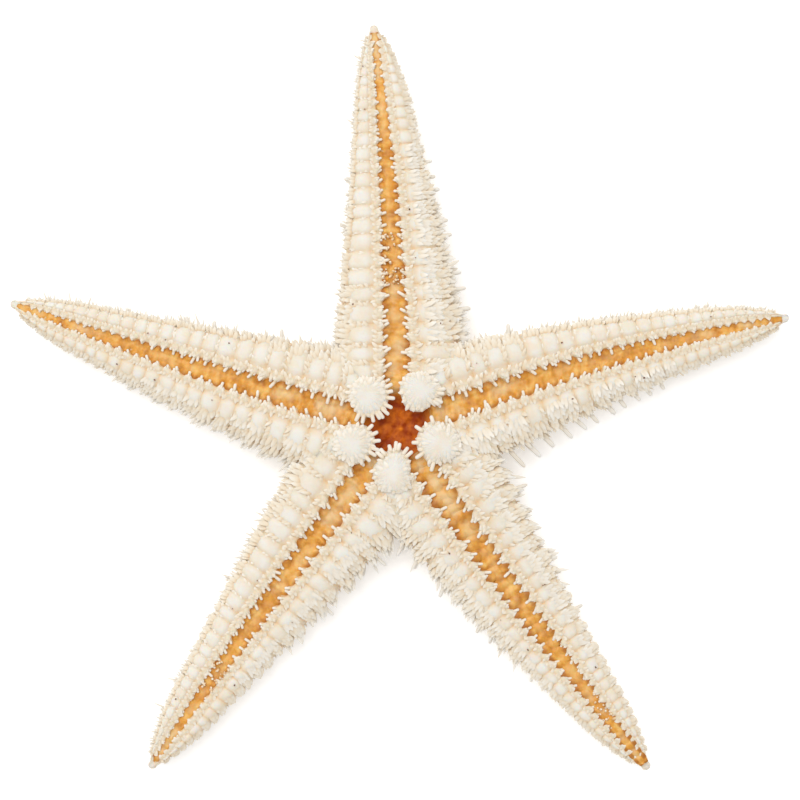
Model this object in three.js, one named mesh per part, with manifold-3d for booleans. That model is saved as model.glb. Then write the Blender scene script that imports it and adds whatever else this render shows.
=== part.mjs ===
// A dried sand star, a five-armed starfish, lying on its back with its mouth up. Millimetres, +Z up.
// The origin is under the mouth, on the plane that the star rests on.
// It grew as one piece, so it is one solid: five tapering arms that run together in the disc, a food groove
// along each arm, a sunken mouth and five jaw cushions between the grooves. The outline is the reach of the
// spines that fringe the arms, and the shallow scallops along it are the marginal plates.
import * as THREE from "three";
import { mergeVertices } from "three/addons/utils/BufferGeometryUtils.js";
import Module from "manifold-3d";

// ---- Driving dimensions ----------------------------------------------------------------------------
// bearing: where the arm's tip lies, in degrees anticlockwise from +X. length: mouth centre to tip.
// bow: how far the middle of the arm stands off the straight line, to the left when looking to the tip.
// left, right: reach of the two sides beside the usual arm. tipLift: how far the tip curls up.
const armShapes = [
  { bearing: 93.5, length: 62.6, bow: -0.8, left: 0.92, right: 1.1, tipLift: 1.6 },
  { bearing: 162.1, length: 63.2, bow: 0.7, left: 1.03, right: 0.93, tipLift: 1.2 },
  { bearing: 233.9, length: 65.2, bow: -0.4, left: 1.04, right: 0.96, tipLift: 2.0 },
  { bearing: 306.3, length: 65.7, bow: -0.8, left: 1.05, right: 0.96, tipLift: 1.4 },
  { bearing: 15.8, length: 63.0, bow: 1.5, left: 0.89, right: 1.06, tipLift: 1.8 },
];
const arm = {
  reachAtMouth: 12.7, // half width of the outline where the arm starts, at the mouth
  reachAtTip: 2.5, // half width that the straight taper would have at the tip
  tipFrom: 0.88, // share of the length where the tip starts to round off
  heightAtMouth: 9.6, // mouth side above the resting plane
  heightAtTip: 3.4,
  widestAt: 0.5, // height of the widest line, as a share of the arm's height
  squareness: 0.62, // 1 is a round section, and less is boxier
  restingShare: 1.3, // above 1, the underside is flat where it would pass below the plane
  curlFrom: 0.45, // share of the length where the tip starts to curl up
};
const plates = { perSide: 20, firstAt: 14, pitchAtDisc: 3.4, pitchAtTip: 1.5, scallop: 0.05 };
const groove = { widthAtMouth: 4.6, widthAtTip: 1.3, depthAtMouth: 3.6, depthAtTip: 1.2, floorShare: 0.35 };
const mouth = { radius: 4.6, floorRadius: 3.2, floorHeight: 5.6 };
const jaw = { fromCentre: 6.4, radialHalf: 3.2, acrossHalf: 2.7, upHalf: 3.6, standsOut: 0.6 };

const sectionPoints = 12; // around an arm
const tipEnd = [0.985, 0.994, 0.999]; // shares of the length of the last sections, which close the tip
const bodyStart = -0.03; // share of the length where an arm starts, a little behind the mouth
const clearAbove = 4; // how far the cutters stand out of what they cut

const wasm = await Module();
wasm.setup();

// ---- Joining and cutting ---------------------------------------------------------------------------
function solidFrom(geometry) {
  const bare = geometry.clone();
  bare.deleteAttribute("normal");
  bare.deleteAttribute("uv");
  const merged = mergeVertices(bare, 1e-4);
  return new wasm.Manifold(
    new wasm.Mesh({
      numProp: 3,
      vertProperties: new Float32Array(merged.attributes.position.array),
      triVerts: new Uint32Array(merged.index.array),
    }),
  );
}

function geometryFrom(solid) {
  const mesh = solid.getMesh();
  const geometry = new THREE.BufferGeometry();
  geometry.setAttribute("position", new THREE.BufferAttribute(new Float32Array(mesh.vertProperties), 3));
  geometry.setIndex(new THREE.BufferAttribute(new Uint32Array(mesh.triVerts), 1));
  geometry.computeVertexNormals();
  return geometry;
}

// A closed skin over rings of points, which all have the same number of points.
function loft(rings) {
  const around = rings[0].length;
  const middleOf = (ring) => ring.reduce((sum, p) => sum.add(p), new THREE.Vector3()).divideScalar(around);
  const points = [...rings.flat(), middleOf(rings[0]), middleOf(rings.at(-1))];
  const [startMiddle, endMiddle] = [points.length - 2, points.length - 1];
  const faces = [];
  for (let i = 0; i < around; i++) {
    const next = (i + 1) % around;
    for (let ring = 0; ring < rings.length - 1; ring++) {
      const [near, far] = [ring * around, (ring + 1) * around];
      faces.push(near + i, near + next, far + next, near + i, far + next, far + i);
    }
    const last = (rings.length - 1) * around;
    faces.push(startMiddle, next, i, endMiddle, last + i, last + next);
  }
  const geometry = new THREE.BufferGeometry().setFromPoints(points);
  geometry.setIndex(faces);
  return geometry;
}

// ---- The arms --------------------------------------------------------------------------------------
// The line of an arm on the resting plane, from the mouth's centre to the tip.
function armLine({ bearing, length, bow }) {
  const angle = THREE.MathUtils.degToRad(bearing);
  const tip = new THREE.Vector3(Math.cos(angle), Math.sin(angle), 0).multiplyScalar(length);
  const left = new THREE.Vector3(-Math.sin(angle), Math.cos(angle), 0);
  const control = tip.clone().multiplyScalar(0.5).addScaledVector(left, 2 * bow);
  return new THREE.QuadraticBezierCurve3(new THREE.Vector3(), control, tip);
}

// Turns (across, up) at a share of the arm's length into a point in space.
function placeOn(line, share, across, up) {
  const along = line.getTangent(Math.max(share, 0));
  return line.getPoint(share).addScaledVector(new THREE.Vector3(-along.y, along.x, 0), across).setZ(up);
}

const curlOf = (shape, share) => shape.tipLift * THREE.MathUtils.smoothstep(share, arm.curlFrom, 1);
const heightOf = (share) => THREE.MathUtils.lerp(arm.heightAtMouth, arm.heightAtTip, share);
const tipTaper = (share) => {
  const past = Math.max(0, (share - arm.tipFrom) / (1 - arm.tipFrom));
  return (1 - past ** 1.6) ** 0.9;
};
const reachOf = (share) => THREE.MathUtils.lerp(arm.reachAtMouth, arm.reachAtTip, share);

// Shares of the length at the middles and the seams of the marginal plates, which get shorter to the tip.
function plateStations(length) {
  const stations = [];
  for (let half = 0; half <= 2 * plates.perSide; half++) {
    const u = half / (2 * plates.perSide);
    const bend = (plates.pitchAtTip / plates.pitchAtDisc - 1) / 2;
    const travelled = (u + bend * u * u) / (1 + bend);
    const from = plates.firstAt / length;
    const to = 1 - arm.reachAtTip / 2 / length;
    stations.push({ share: from + (to - from) * travelled, seam: half % 2 === 0 });
  }
  return stations;
}

function armSection(shape, line, share, scallop) {
  const ring = [];
  const height = heightOf(share) * tipTaper(share);
  const middle = height * arm.widestAt;
  const floor = curlOf(shape, share) + (heightOf(share) - height) * arm.widestAt;
  for (let i = 0; i < sectionPoints; i++) {
    const turn = (2 * Math.PI * (i + 0.5)) / sectionPoints;
    const side = Math.sign(Math.cos(turn)) * Math.abs(Math.cos(turn)) ** arm.squareness;
    const rise = Math.abs(Math.sin(turn)) ** arm.squareness;
    const reach = reachOf(share) * tipTaper(share) * scallop * (side > 0 ? shape.left : shape.right);
    const above = middle + (height - middle) * rise;
    const below = Math.max(0, middle * (1 - arm.restingShare * rise));
    ring.push(placeOn(line, share, side * reach, floor + (turn < Math.PI ? above : below)));
  }
  return ring;
}

function armSolid(shape) {
  const line = armLine(shape);
  const stations = [{ share: bodyStart, seam: false }, ...plateStations(shape.length)];
  stations.push(...tipEnd.map((share) => ({ share, seam: false })));
  const reachAt = (seam) => (seam ? 1 - plates.scallop : 1);
  return solidFrom(loft(stations.map(({ share, seam }) => armSection(shape, line, share, reachAt(seam)))));
}

// The food groove: a trough that narrows downwards and to the tip.
function grooveCutter(shape) {
  const line = armLine(shape);
  const rings = [];
  const lastShare = 1 - arm.reachAtTip / 2 / shape.length;
  for (let i = 0; i <= 10; i++) {
    const share = THREE.MathUtils.lerp(bodyStart, lastShare, i / 10);
    const half = THREE.MathUtils.lerp(groove.widthAtMouth, groove.widthAtTip, share) / 2;
    const top = heightOf(share) + curlOf(shape, share);
    const bottom = top - THREE.MathUtils.lerp(groove.depthAtMouth, groove.depthAtTip, share);
    const corners = [
      [half, top + clearAbove],
      [-half, top + clearAbove],
      [-half, (top + bottom) / 2],
      [-half * groove.floorShare, bottom],
      [half * groove.floorShare, bottom],
      [half, (top + bottom) / 2],
    ];
    rings.push(corners.map(([across, up]) => placeOn(line, share, across, up)));
  }
  return solidFrom(loft(rings));
}

// ---- The disc --------------------------------------------------------------------------------------
function mouthCutter() {
  const top = arm.heightAtMouth + clearAbove;
  const profile = [
    new THREE.Vector2(0, mouth.floorHeight),
    new THREE.Vector2(mouth.floorRadius, mouth.floorHeight),
    new THREE.Vector2(mouth.radius, arm.heightAtMouth),
    new THREE.Vector2(mouth.radius, top),
    new THREE.Vector2(0, top),
  ];
  return solidFrom(new THREE.LatheGeometry(profile, 20).rotateX(Math.PI / 2));
}

// A jaw cushion lies on the line half way between two arms.
function jawSolid(bearing) {
  const cushion = new THREE.SphereGeometry(1, 12, 8).rotateX(Math.PI / 2);
  cushion.scale(jaw.radialHalf, jaw.acrossHalf, jaw.upHalf);
  cushion.translate(jaw.fromCentre, 0, arm.heightAtMouth + jaw.standsOut - jaw.upHalf);
  cushion.rotateZ(THREE.MathUtils.degToRad(bearing));
  return solidFrom(cushion);
}

function jawBearings() {
  return armShapes.map(({ bearing }, i) => {
    const next = armShapes[(i + 1) % armShapes.length].bearing;
    return bearing + (THREE.MathUtils.euclideanModulo(next - bearing, 360) || 360) / 2;
  });
}

// ---- The star --------------------------------------------------------------------------------------
function starSolid() {
  let star = armShapes.map(armSolid).reduce((all, one) => all.add(one));
  star = armShapes.map(grooveCutter).reduce((all, cutter) => all.subtract(cutter), star);
  star = star.subtract(mouthCutter());
  return jawBearings().map(jawSolid).reduce((all, one) => all.add(one), star);
}

const driedPlates = new THREE.MeshStandardMaterial({ color: 0xefe6d6, roughness: 0.75, metalness: 0 });
const starfish = new THREE.Mesh(geometryFrom(starSolid()), driedPlates);
starfish.name = "starfish";

const part = new THREE.Group();
part.add(starfish);
export default part;
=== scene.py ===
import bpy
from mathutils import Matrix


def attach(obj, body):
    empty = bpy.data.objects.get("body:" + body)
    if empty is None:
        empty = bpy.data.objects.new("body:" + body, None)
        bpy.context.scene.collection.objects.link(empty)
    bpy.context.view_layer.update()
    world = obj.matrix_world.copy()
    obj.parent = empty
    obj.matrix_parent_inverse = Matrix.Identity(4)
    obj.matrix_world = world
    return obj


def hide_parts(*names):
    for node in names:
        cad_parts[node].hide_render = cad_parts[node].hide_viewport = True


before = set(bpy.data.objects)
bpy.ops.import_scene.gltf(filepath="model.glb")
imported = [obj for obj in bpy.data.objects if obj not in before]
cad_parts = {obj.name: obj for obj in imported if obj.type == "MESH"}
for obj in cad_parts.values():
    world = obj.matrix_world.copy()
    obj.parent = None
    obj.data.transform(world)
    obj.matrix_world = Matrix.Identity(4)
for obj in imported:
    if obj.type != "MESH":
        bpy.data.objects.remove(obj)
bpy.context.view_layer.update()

import math
import bpy
import numpy as np

# A dried sand star that lies on its back, mouth up.
# Sizes are in millimetres and are turned to metres as each mesh is made.
mm = 0.001

# Each arm: where its tip points, its length, how far its middle bows to the left, how far its tip curls up.
# Each side of it: reach of the outline, how much of that is fringe, the kind of spines there, and the share
# of the length where the long ones end.
arms = {
    "topArm": {
        "bearing": 93.5, "length": 62.6, "bow": -0.8, "tipLift": 1.6,
        "left": {"reach": 0.92, "fringe": 0.7, "spines": "fuzz", "until": 1.0},
        "right": {"reach": 1.10, "fringe": 2.3, "spines": "blades", "until": 0.54},
    },
    "leftArm": {
        "bearing": 162.1, "length": 63.2, "bow": 0.7, "tipLift": 1.2,
        "left": {"reach": 1.03, "fringe": 1.9, "spines": "fans", "until": 0.68},
        "right": {"reach": 0.93, "fringe": 1.2, "spines": "fuzz", "until": 1.0},
    },
    "lowerLeftArm": {
        "bearing": 233.9, "length": 65.2, "bow": -0.4, "tipLift": 2.0,
        "left": {"reach": 1.04, "fringe": 1.9, "spines": "tufts", "until": 0.56},
        "right": {"reach": 0.96, "fringe": 1.2, "spines": "fuzz", "until": 1.0},
    },
    "lowerRightArm": {
        "bearing": 306.3, "length": 65.7, "bow": -0.8, "tipLift": 1.4,
        "left": {"reach": 1.05, "fringe": 1.9, "spines": "tufts", "until": 0.52},
        "right": {"reach": 0.96, "fringe": 1.7, "spines": "fans", "until": 0.6},
    },
    "rightArm": {
        "bearing": 15.8, "length": 63.0, "bow": 1.5, "tipLift": 1.8,
        "left": {"reach": 0.89, "fringe": 0.9, "spines": "fuzz", "until": 1.0},
        "right": {"reach": 1.06, "fringe": 2.6, "spines": "pegs", "until": 0.66},
    },
}
sideSigns = {"left": 1, "right": -1}

armShape = {
    "reachAtMouth": 12.7, "reachAtTip": 2.5,  # half width of the outline, fringe and all
    "fringeLoss": 0.75,  # share of the fringe that is gone at the tip
    "heightAtMouth": 9.4, "heightAtTip": 3.4,
    "tipFrom": 0.8, "curlFrom": 0.45,  # shares of the length
    "tipPower": 2.3, "tipBlunt": 0.7, "tipThin": 0.25,  # how it rounds off there, and the height that is left
    "standOff": 0.34,  # the skin's underside stands this far off the table, on the paxillae
    "mouthDrop": 3.9, "mouthEdge": (2.6, 6.2),  # the top sinks towards the mouth between these distances
    "capRadius": 0.6, "capHeight": 1.4,  # the round plate at the very tip
    "overlap": 0.8,  # how far neighbouring arms go into each other
    "marginDown": 0.9,  # in the disc, where the sides have merged, the margin is this far below the top
    "underInset": 1.5,  # how much narrower the side is where it meets the back
}
grooveShape = {
    "half": 1.9, "halfAtTip": 0.42, "narrowing": 1.7, "depth": 1.7, "depthAtTip": 0.5,
    "mostHalf": 0.42,  # the groove takes at most this share of a side
    "band": 2.0, "bandLoss": 0.6, "mostBand": 0.34,  # the plates beside it: width, loss to the tip, most share
    "scallop": 0.5, "bayMiddle": 1.15, "uneven": 0.28,  # the bays in its edge
    "calmFrom": 0.55, "calmAt": 0.9, "calm": 0.75,  # between these shares the bays get shallower
}
marginals = {
    "from": 10.0, "pitch": 3.25, "pitchAtTip": 1.35,
    "crease": 0.2, "creaseAtMargin": 0.7, "lip": 0.35,  # depths of the seams and of the inner step
    "boss": 0.2, "bossAt": 0.34, "bossHalf": 0.46,  # height in mm, then shares of the way across
    "longerAt": 0.1, "longerHalf": 0.2,  # added to those on the smooth sides
    "smooth": (0.22, 0.42),  # shares of the length where a side with fuzz turns smooth
}
adambulacrals = {"from": 6.0, "pitch": 2.3, "pitchAtTip": 1.15, "crease": 0.45, "dome": 0.3}


def lerp(low, high, share):
    return low + (high - low) * share


def smoothStep(low, high, x):
    t = np.clip((x - low) / (high - low), 0, 1)
    return t * t * (3 - 2 * t)


# Half the angle to the next arm, on each side of each arm
bearings = sorted(arm["bearing"] for arm in arms.values())
for arm in arms.values():
    place = bearings.index(arm["bearing"])
    arm["left"]["halfGap"] = math.radians((bearings[(place + 1) % 5] - arm["bearing"]) % 360 / 2)
    arm["right"]["halfGap"] = math.radians((arm["bearing"] - bearings[place - 1]) % 360 / 2)


# Point on the arm's middle line at a distance from the mouth, with the directions to the tip and to the left
def lineAt(arm, along):
    angle = math.radians(arm["bearing"])
    share = along / arm["length"]
    straight = np.array([math.cos(angle), math.sin(angle)])
    aside = np.array([-math.sin(angle), math.cos(angle)])
    point = np.multiply.outer(along, straight)
    point = point + np.multiply.outer(4 * arm["bow"] * share * (1 - share), aside)
    toTip = straight + np.multiply.outer(4 * arm["bow"] * (1 - 2 * share) / arm["length"], aside)
    toTip = toTip / np.linalg.norm(toTip, axis=-1, keepdims=True)
    toLeft = np.stack([-toTip[..., 1], toTip[..., 0]], axis=-1)
    return point, toTip, toLeft


# Plates get shorter towards the tip. This counts plates from the disc, with a little unevenness.
def plateNumber(arm, along, plates):
    span = arm["length"] - plates["from"]
    shrink = (plates["pitch"] - plates["pitchAtTip"]) / span
    pitch = plates["pitch"] - shrink * np.clip(along - plates["from"], 0, None)
    number = np.where(along < plates["from"], (along - plates["from"]) / plates["pitch"],
                      np.log(plates["pitch"] / pitch) / shrink)
    phase = arm["bearing"]
    return number + 0.07 * np.sin(1.7 * number + phase) + 0.04 * np.sin(3.9 * number + 2 * phase)


def plateDistance(arm, number, plates):
    along = np.linspace(2, arm["length"], 1500)
    return np.interp(number, plateNumber(arm, along, plates), along)


# Middle and length of one plate, and its size beside the largest
def plateAt(arm, number, plates):
    centre = float(plateDistance(arm, number, plates))
    pitch = float(plateDistance(arm, number + 0.5, plates) - plateDistance(arm, number - 0.5, plates))
    return centre, pitch, pitch / plates["pitch"]


# Everything that sets the section of one side of an arm, at distances from the mouth
def measure(arm, sideName, along):
    side = arm[sideName]
    share = along / arm["length"]
    past = np.clip((share - armShape["tipFrom"]) / (1 - armShape["tipFrom"]), 0, 1)
    taper = np.clip(1 - past ** armShape["tipPower"], 0.0004, 1) ** armShape["tipBlunt"]
    free = lerp(armShape["reachAtMouth"], armShape["reachAtTip"], share) * side["reach"]
    free = (free - side["fringe"] * (1 - armShape["fringeLoss"] * share)) * taper
    bowed = 4 * arm["bow"] * share * (1 - share) * sideSigns[sideName]
    notch = along * math.tan(side["halfGap"]) - bowed + armShape["overlap"]
    full = lerp(armShape["heightAtMouth"], armShape["heightAtTip"], share)
    toEnd = np.clip((arm["length"] - along) / armShape["capRadius"], 0, 1)
    cap = np.sqrt(toEnd * (2 - toEnd))
    height = np.maximum(full * lerp(armShape["tipThin"], 1, taper), armShape["capHeight"] * cap)
    base = armShape["standOff"] + (full - height) / 2
    base = base + arm["tipLift"] * smoothStep(armShape["curlFrom"], 1, share)
    m = {"along": along, "share": share, "taper": taper, "base": base}
    m["phase"] = arm["bearing"] + 2 * sideSigns[sideName]
    m["smooth"] = smoothStep(*marginals["smooth"], share) * (1.0 if side["spines"] == "fuzz" else 0.0)
    m["calm"] = 1 - grooveShape["calm"] * smoothStep(grooveShape["calmFrom"], grooveShape["calmAt"], share)
    m["margin"] = np.maximum(np.minimum(free, notch), cap * armShape["capRadius"])
    m["merged"] = np.clip((free - notch) / 1.5, 0, 1)
    drop = armShape["mouthDrop"] * (1 - smoothStep(*armShape["mouthEdge"], along))
    m["top"] = base + height - armShape["standOff"] - drop
    m["half"] = lerp(grooveShape["half"], grooveShape["halfAtTip"], share ** grooveShape["narrowing"])
    m["half"] = np.minimum(m["half"], grooveShape["mostHalf"] * m["margin"])
    m["depth"] = lerp(grooveShape["depth"], grooveShape["depthAtTip"], share) * taper
    band = grooveShape["band"] * (1 - grooveShape["bandLoss"] * share)
    m["inner"] = m["half"] + np.minimum(band, grooveShape["mostBand"] * m["margin"])
    m["middle"] = lerp(base + 0.5 * (m["top"] - base), m["top"] - armShape["marginDown"], m["merged"])
    for key, plates in (("plate", marginals), ("ambulacral", adambulacrals)):
        number = plateNumber(arm, along, plates)
        m[key] = number
        m[key + "Edge"] = np.abs(2 * (number - np.floor(number)) - 1)  # 0 in a plate's middle, 1 at its seams
    m["size"] = lerp(1, marginals["pitchAtTip"] / marginals["pitch"], np.clip(share, 0, 1))
    return m


# One zone after another, from the middle of the groove to the middle of the back.
# Each gives (across, up) for a share of the zone.
def grooveZone(m, share):
    across = m["half"] * np.minimum(share, 0.85) + np.where(share > 0.85, 1, 0) * 0.15 * m["half"]
    up = m["top"] - m["depth"] * (1 - 0.75 * smoothStep(0.8, 1, share))
    return across + grooveScallop(m) * smoothStep(0.5, 1, share), up


# Round bays at the seams, which the tube feet fill, with points between them
def grooveScallop(m):
    bay = 2 * np.sqrt(np.clip(1 - (1 - m["ambulacralEdge"]) ** 2, 0, 1)) - grooveShape["bayMiddle"]
    bay = bay * (1 + grooveShape["uneven"] * np.sin(1.9 * m["ambulacral"] + m["phase"])) * m["calm"]
    return np.maximum(grooveShape["scallop"] * m["size"] ** 0.6 * bay, 0.15 * m["half"] - m["half"])


def ambulacralZone(m, share):
    across = lerp(m["half"], m["inner"], share)
    up = m["top"] - adambulacrals["dome"] * m["size"] * np.abs(2 * share - 1) ** 2.5
    up = up - adambulacrals["crease"] * m["size"] * m["ambulacralEdge"] ** 4
    return across + grooveScallop(m) * (1 - share), up


# How far over a marginal plate, 0 at its inner edge and 1 at the margin, a share of the zone comes
def plateSpread(share):
    return np.sin(share * math.pi / 2) ** 0.8


def plateShare(spread):
    return np.arcsin(np.clip(spread, 0, 1) ** 1.25) * 2 / math.pi


# The bare oval swelling on the inner half of each marginal plate
def bossMark(m, share):
    middle = marginals["bossAt"] + marginals["longerAt"] * m["smooth"]
    half = marginals["bossHalf"] + marginals["longerHalf"] * m["smooth"]
    far = np.hypot((plateSpread(share) - middle) / half, 0.95 * m["plateEdge"])
    return smoothStep(1.08, 0.3, far)


def plateZone(m, share):
    turn = share * math.pi / 2
    across = m["inner"] + (m["margin"] - m["inner"]) * plateSpread(share)
    up = m["middle"] + (m["top"] - m["middle"]) * np.cos(turn) ** 0.5
    deep = lerp(marginals["crease"], marginals["creaseAtMargin"], share ** 2 * (1 - m["merged"]))
    relief = -deep * m["size"] * m["plateEdge"] ** 4
    relief = relief - marginals["lip"] * m["size"] * np.clip(1 - share / 0.08, 0, 1)
    relief = relief + marginals["boss"] * m["size"] * bossMark(m, share)
    return across + relief * np.sin(turn), up + relief * np.cos(turn)


def sideZone(m, share):
    bulge = 0.35 * np.sin(math.pi * share) - 0.3 * np.clip(1 - share / 0.12, 0, 1)
    bulge = bulge - 0.8 * marginals["crease"] * m["plateEdge"] ** 4
    inset = armShape["underInset"] * share ** 3 * (1 - m["merged"]) * m["taper"]
    across = m["margin"] + bulge * m["size"] * (1 - m["merged"]) - inset * m["size"]
    up = lerp(m["middle"], m["base"] + 0.08 * (m["top"] - m["base"]) * (1 - m["merged"]), share)
    return np.maximum(across, 0.02), up


def backZone(m, share):
    edge, edgeUp = sideZone(m, np.ones_like(m["along"]))
    return edge * (1 - share), lerp(edgeUp, m["base"], smoothStep(0, 0.45, share))


sectionPlan = [  # zone, then the shares of it where the skin has points
    (grooveZone, [0, 0.45, 0.8, 1.0]),
    (ambulacralZone, [0.12, 0.35, 0.6, 0.85]),
    (plateZone, [0, 0.03, 0.07, 0.12, 0.18, 0.25, 0.33, 0.42, 0.53, 0.66, 0.8, 0.93]),
    (sideZone, [0, 0.08, 0.22, 0.4, 0.6, 0.8, 0.93]),
    (backZone, [0, 0.2, 0.45, 0.75, 1.0]),
]


# Places (across, up) of one side of an arm in space
def inSpace(arm, sideName, along, across, up):
    point, _, toLeft = lineAt(arm, along)
    flat = point + toLeft * (sideSigns[sideName] * across)[..., None]
    return np.concatenate([flat, up[..., None]], axis=-1)


# Names the active object's mesh and gives it its body, slot and material
def finishPiece(name, material):
    piece = bpy.context.object
    piece.name = name
    piece.data.name = name
    piece.data.materials.clear()
    piece.data.materials.append(material)
    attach(piece, "root")


def thicken(piece, thickness):
    bpy.ops.object.modifier_add(type="SOLIDIFY")
    piece.modifiers[-1].thickness = thickness * mm
    piece.modifiers[-1].offset = -1
    bpy.ops.object.modifier_apply(modifier=piece.modifiers[-1].name)


# One mesh from several shells, each of which is points, faces and the attributes that keys names
def meshPiece(name, shells, keys):
    faces, start = [], 0
    for shell in shells:
        faces += [tuple(start + i for i in face) for face in shell[1]]
        start += len(shell[0])
    data = bpy.data.meshes.new(name)
    data.from_pydata([tuple(p) for p in np.concatenate([shell[0] for shell in shells]) * mm], [], faces)
    for place, key in enumerate(keys, 2):
        numbers = np.concatenate([shell[place] for shell in shells])
        data.attributes.new(key, "FLOAT", "POINT").data.foreach_set("value", numbers.astype(np.float32))
    piece = bpy.data.objects.new(name, data)
    bpy.context.collection.objects.link(piece)
    bpy.ops.object.select_all(action="DESELECT")
    piece.select_set(True)
    bpy.context.view_layer.objects.active = piece
    bpy.ops.object.mode_set(mode="EDIT")
    bpy.ops.mesh.select_all(action="SELECT")
    bpy.ops.mesh.remove_doubles(threshold=0.002 * mm)
    bpy.ops.mesh.normals_make_consistent(inside=False)
    bpy.ops.object.mode_set(mode="OBJECT")
    bpy.ops.object.shade_smooth()
    return piece


def linear(hexColour):
    parts = [int(hexColour[i:i + 2], 16) / 255 for i in (1, 3, 5)]
    return [p / 12.92 if p <= 0.04045 else ((p + 0.055) / 1.055) ** 2.4 for p in parts] + [1.0]


# Adds a node. Inputs are values or links, and a ramp's stops are its first, its last and what lies between.
def addNode(tree, kind, settings=None, inputs=None, stops=()):
    node = tree.nodes.new(kind)
    for key, value in (settings or {}).items():
        setattr(node, key, value)
    for key, value in (inputs or {}).items():
        if isinstance(value, bpy.types.NodeSocket):
            tree.links.new(value, node.inputs[key])
        else:
            node.inputs[key].default_value = value
    for count, (position, hexColour) in enumerate(stops):
        elements = node.color_ramp.elements
        stop = elements[count] if count < 2 else elements.new(position)
        stop.position = position
        stop.color = linear(hexColour)
    return node


def newMaterial(name):
    material = bpy.data.materials.new(name)
    material.use_nodes = True
    material.node_tree.nodes.clear()
    return material, material.node_tree


def addShader(tree, looks):
    shader = addNode(tree, "ShaderNodeBsdfPrincipled", None, looks)
    addNode(tree, "ShaderNodeOutputMaterial", None, {"Surface": shader.outputs[0]})


# Bleached calcite plates: chalky and pale; the seam colour is painted warm shade, laid into the seams and
# creases by the crease mark
plateColours = {"patch": "#E1CDAE", "body": "#E8DDCA", "seam": "#E2BE90", "boss": "#E5E1D8"}


def bleachedPlates():
    material, tree = newMaterial("bleachedCalcitePlates")
    place = addNode(tree, "ShaderNodeTexCoord").outputs["Object"]
    crease, boss = (addNode(tree, "ShaderNodeAttribute", {"attribute_name": key}).outputs["Fac"]
                 for key in ("crease", "boss"))
    cloud = addNode(tree, "ShaderNodeTexNoise", None,
                    {"Vector": place, "Scale": 450, "Detail": 3}).outputs["Fac"]  # 2 mm patches
    grain = addNode(tree, "ShaderNodeTexNoise", None,
                    {"Vector": place, "Scale": 3300, "Detail": 2}).outputs["Fac"]  # 0.3 mm pores
    mottle = addNode(tree, "ShaderNodeMapRange", None, {"Value": cloud, 1: 0.38, 2: 0.62, 3: 0.45, 4: 1.0})
    chalk = addNode(tree, "ShaderNodeMath", {"operation": "MULTIPLY"}, {0: boss, 1: mottle.outputs[0]})
    colour = linear(plateColours["patch"])
    # the crease mark mixes in the seam colour, which is painted warm shade in the seams and creases
    for amount, key in ((cloud, "body"), (crease, "seam"), (chalk.outputs[0], "boss")):
        colour = addNode(tree, "ShaderNodeMix", {"data_type": "RGBA"},
                         {0: amount, 6: colour, 7: linear(plateColours[key])}).outputs[2]
    pores = addNode(tree, "ShaderNodeBump", None, {"Height": grain, "Distance": 0.08 * mm, "Strength": 0.5})
    addShader(tree, {"Base Color": colour, "Roughness": 0.75, "IOR": 1.5, "Subsurface Weight": 0.4,
                     "Subsurface Radius": (1.0, 0.62, 0.36), "Subsurface Scale": 0.7 * mm,
                     "Normal": pores.outputs[0]})
    return material


# Spines are the same calcite, thinner, so they glow a little: painted warm shade at the root, where they sink
# among each other, and white at the tip. The sand and the dirt are small grains with the same dull surface.
spineColours = {  # root, body and tip
    "bleachedCalciteSpines": ("#D8AF7C", "#E6D7BF", "#F1EDE4"),
    "bleachedCalciteFringe": ("#D9BA94", "#E3DACB", "#ECEAE5"),
    "bleachedCalciteSpinules": ("#E4D0AF", "#ECE1D0", "#F2EFE7"),
    "quartzSand": ("#C4843A", "#E6BE84", "#FBF2E0"),
    "driedDirt": ("#6B3A1C", "#7A4422", "#5A2F18"),
}


def bleachedSpines(name):
    rootShadeHex, bodyHex, tipHex = spineColours[name]
    material, tree = newMaterial(name)
    place = addNode(tree, "ShaderNodeTexCoord").outputs["Object"]
    rise, tint = (addNode(tree, "ShaderNodeAttribute", {"attribute_name": key}).outputs["Fac"]
               for key in ("rise", "tint"))
    # root to tip: the root colour is painted shade between the spines
    ramp = addNode(tree, "ShaderNodeValToRGB", None, {"Fac": rise},
                   stops=((0.02, rootShadeHex), (1.0, tipHex), (0.45, bodyHex)))
    tinted = addNode(tree, "ShaderNodeMix", {"data_type": "RGBA"},
                     {0: tint, 6: ramp.outputs["Color"], 7: linear(bodyHex)}).outputs[2]
    grain = addNode(tree, "ShaderNodeTexNoise", None,
                    {"Vector": place, "Scale": 2500, "Detail": 2}).outputs["Fac"]  # 0.4 mm grain
    rough = addNode(tree, "ShaderNodeBump", None, {"Height": grain, "Distance": 0.05 * mm, "Strength": 0.3})
    addShader(tree, {"Base Color": tinted, "Roughness": 0.65, "IOR": 1.5, "Subsurface Weight": 0.15,
                     "Subsurface Radius": (1.0, 0.85, 0.7), "Subsurface Scale": 0.25 * mm,
                     "Normal": rough.outputs[0]})
    return material


# Dried tube feet and tissue in the grooves: amber, a little glossy, milky in patches, with painted brown shade
# in the bays under the teeth
tubeFeetColours = {"dark": "#BC7A2C", "body": "#E09F40", "light": "#EFC070", "milky": "#E3C08C",
                   "bayShade": "#A05A18"}


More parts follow.
